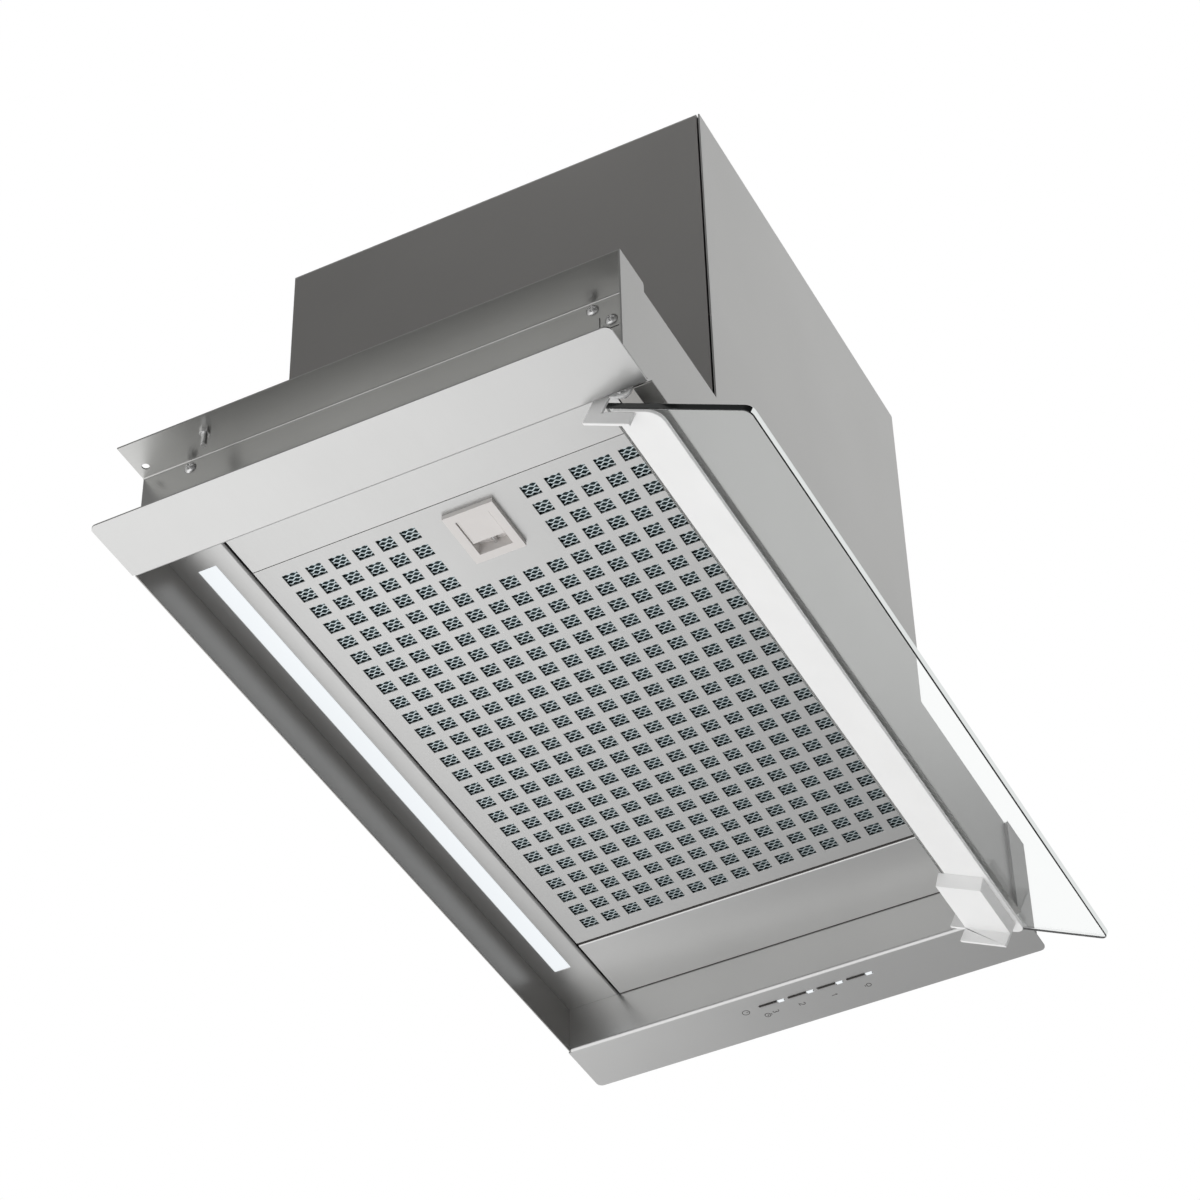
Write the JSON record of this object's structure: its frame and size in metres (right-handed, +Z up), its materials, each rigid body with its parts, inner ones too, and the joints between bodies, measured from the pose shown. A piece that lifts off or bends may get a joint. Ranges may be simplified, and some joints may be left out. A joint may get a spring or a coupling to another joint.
{
  "type": "built-in range hood",
  "caption": "Built-in range hood that hangs in a wall cabinet: steel canopy and motor box, blower, perforated grease filter, light strip and a glass visor that folds down.",
  "frame": {"origin": "middle of the four cabinet fixing holes, in the top plane of the fixing flanges", "axes": "+Z up, +X to the user's right, -Y towards the user"},
  "size_m": [0.598, 0.3675, 0.3956],
  "materials": {
    "flange_steel": "brushed",
    "filter_steel": "brushed",
    "housing_steel": "brushed",
    "key_steel": "brushed",
    "motor_steel": "satin",
    "zinc_steel": "satin",
    "dark_plastic": "matte",
    "grey_plastic": "matte",
    "white_plastic": "satin",
    "lit_lens": "satin",
    "light_board": "satin",
    "circuit_board": "satin",
    "copper_winding": "satin",
    "filter_mesh": "satin",
    "visor_glass": "clear"
  },
  "bodies": {
    "hood": {"left_end_frame": "flange_steel", "right_end_frame": "flange_steel", "left_mounting_bracket": "housing_steel", "right_mounting_bracket": "housing_steel", "front_panel": "housing_steel", "front_rim": "housing_steel", "back_wall": "housing_steel", "canopy_top_plate": "housing_steel", "left_filler_panel": "flange_steel", "right_filler_panel": "flange_steel", "motor_box": "housing_steel", "motor_box_lid": "housing_steel", "duct_collar": "dark_plastic", "damper_pin": "zinc_steel", "outlet_duct": "dark_plastic", "left_blower_housing": "dark_plastic", "right_blower_housing": "dark_plastic", "motor_stator": "copper_winding", "motor_can": "motor_steel", "motor_end_cap": "motor_steel", "motor_bracket": "zinc_steel", "electronics_case": "dark_plastic", "electronics_cover": "grey_plastic", "power_board": "circuit_board", "motor_capacitor": "grey_plastic", "cable_gland": "dark_plastic", "light_panel": "flange_steel", "light_lens": "lit_lens", "light_board": "light_board", "light_driver": "white_plastic", "visor_hinge_pins": "zinc_steel", "control_housing": "dark_plastic", "control_board": "circuit_board", "indicator_light_pipes": "lit_lens", "bracket_screws": "zinc_steel", "clamp_screws": "zinc_steel", "motor_box_screws": "zinc_steel", "collar_screws": "zinc_steel", "blower_screws": "zinc_steel"},
    "visor": {"visor_glass": "visor_glass", "visor_rail": "white_plastic", "left_visor_bracket": "white_plastic", "right_visor_bracket": "white_plastic"},
    "filter": {"filter_tray": "filter_steel", "filter_mesh": "filter_mesh", "filter_back_grid": "filter_steel", "filter_hinge_tabs": "filter_steel", "latch_bezel": "white_plastic", "latch_spring": "zinc_steel"},
    "latch": {"latch_slider": "white_plastic"},
    "speed_3": {"speed_3_key": "key_steel"},
    "speed_2": {"speed_2_key": "key_steel"},
    "speed_1": {"speed_1_key": "key_steel"},
    "lamp": {"lamp_key": "key_steel"},
    "fan": {"fan_wheel": "grey_plastic", "fan_blades": "grey_plastic", "motor_shaft": "zinc_steel", "motor_rotor": "motor_steel"},
    "left_damper": {"left_damper_flap": "grey_plastic"},
    "right_damper": {"right_damper_flap": "grey_plastic"}
  },
  "joints": [
    {"name": "visor_tilt", "type": "hinge", "parent": "hood", "child": "visor", "pos_m": [0, -0.13946, -0.06798], "axis": [-1, 0, 0], "range_deg": [0, 26.5]},
    {"name": "filter_drop", "type": "hinge", "parent": "hood", "child": "filter", "pos_m": [0.193, 0, -0.042], "axis": [0, -1, 0], "range_deg": [0, 75]},
    {"name": "latch_slide", "type": "slide", "parent": "filter", "child": "latch", "axis": [1, 0, 0], "range_m": [0, 0.0072], "stiffness_N_per_m": 300},
    {"name": "speed_3_press", "type": "slide", "parent": "hood", "child": "speed_3", "axis": [0, 0, 1], "range_m": [0, 0.0012], "stiffness_N_per_m": 400},
    {"name": "speed_2_press", "type": "slide", "parent": "hood", "child": "speed_2", "axis": [0, 0, 1], "range_m": [0, 0.0012], "stiffness_N_per_m": 400},
    {"name": "speed_1_press", "type": "slide", "parent": "hood", "child": "speed_1", "axis": [0, 0, 1], "range_m": [0, 0.0012], "stiffness_N_per_m": 400},
    {"name": "lamp_press", "type": "slide", "parent": "hood", "child": "lamp", "axis": [0, 0, 1], "range_m": [0, 0.0012], "stiffness_N_per_m": 400},
    {"name": "fan_spin", "type": "hinge", "parent": "hood", "child": "fan", "pos_m": [-0.0195, -0.04517, 0.1117], "axis": [1, 0, 0], "continuous": true},
    {"name": "left_damper_swing", "type": "hinge", "parent": "hood", "child": "left_damper", "pos_m": [-0.0195, 0.015, 0.252], "axis": [0, 1, 0], "range_deg": [0, 75]},
    {"name": "right_damper_swing", "type": "hinge", "parent": "hood", "child": "right_damper", "pos_m": [-0.0195, 0.015, 0.252], "axis": [0, -1, 0], "range_deg": [0, 75]}
  ]
}
